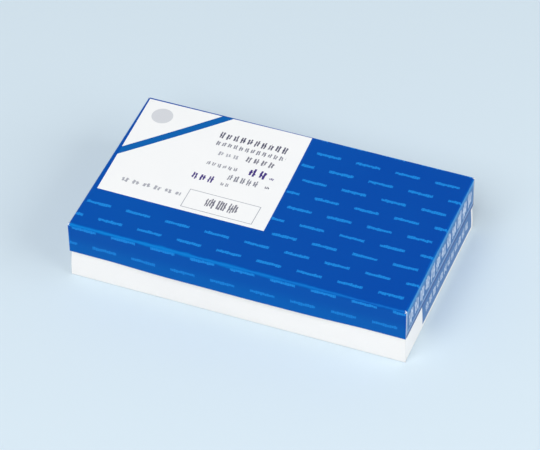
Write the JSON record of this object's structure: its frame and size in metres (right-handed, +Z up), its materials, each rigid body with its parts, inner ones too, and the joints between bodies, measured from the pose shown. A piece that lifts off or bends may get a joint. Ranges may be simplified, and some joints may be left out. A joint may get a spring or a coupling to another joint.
{
  "type": "microscope slide box",
  "caption": "Flat oblong card carton with a blue lift-off lid over a white tray, which holds one upright row of plain glass microscope slides.",
  "frame": {"origin": "middle of the box's footprint, on the surface that it stands on", "axes": "+X along the box's length towards the end with the printed panel, +Y across it towards the label's side, +Z up through the lid"},
  "size_m": [0.1422, 0.085, 0.0279],
  "materials": {
    "white_card": "smooth white coated card, satin",
    "blue_card": "blue printed card under a gloss varnish",
    "slide_glass": "clear, with ground edges",
    "white_print": "white label field",
    "dark_print": "dark ink",
    "light_blue_print": "light blue ink under a gloss varnish",
    "pale_print": "pale ink under a gloss varnish"
  },
  "bodies": {
    "base": {"base_tray": "white_card", "slides_01": "slide_glass", "slides_02": "slide_glass", "slides_03": "slide_glass", "slides_04": "slide_glass", "slides_05": "slide_glass", "slides_06": "slide_glass", "slides_07": "slide_glass", "slides_08": "slide_glass", "slides_09": "slide_glass", "slides_10": "slide_glass", "base_end_print": "blue_card"},
    "lid": {"lid": "blue_card", "label_field": "white_print", "label_lines": "dark_print", "dash_print": "light_blue_print", "lid_end_print": "pale_print"}
  },
  "joints": [
    {"name": "lid_lift", "type": "slide", "parent": "base", "child": "lid", "axis": [0, 0, 1], "range_m": [0, 0.05]}
  ]
}
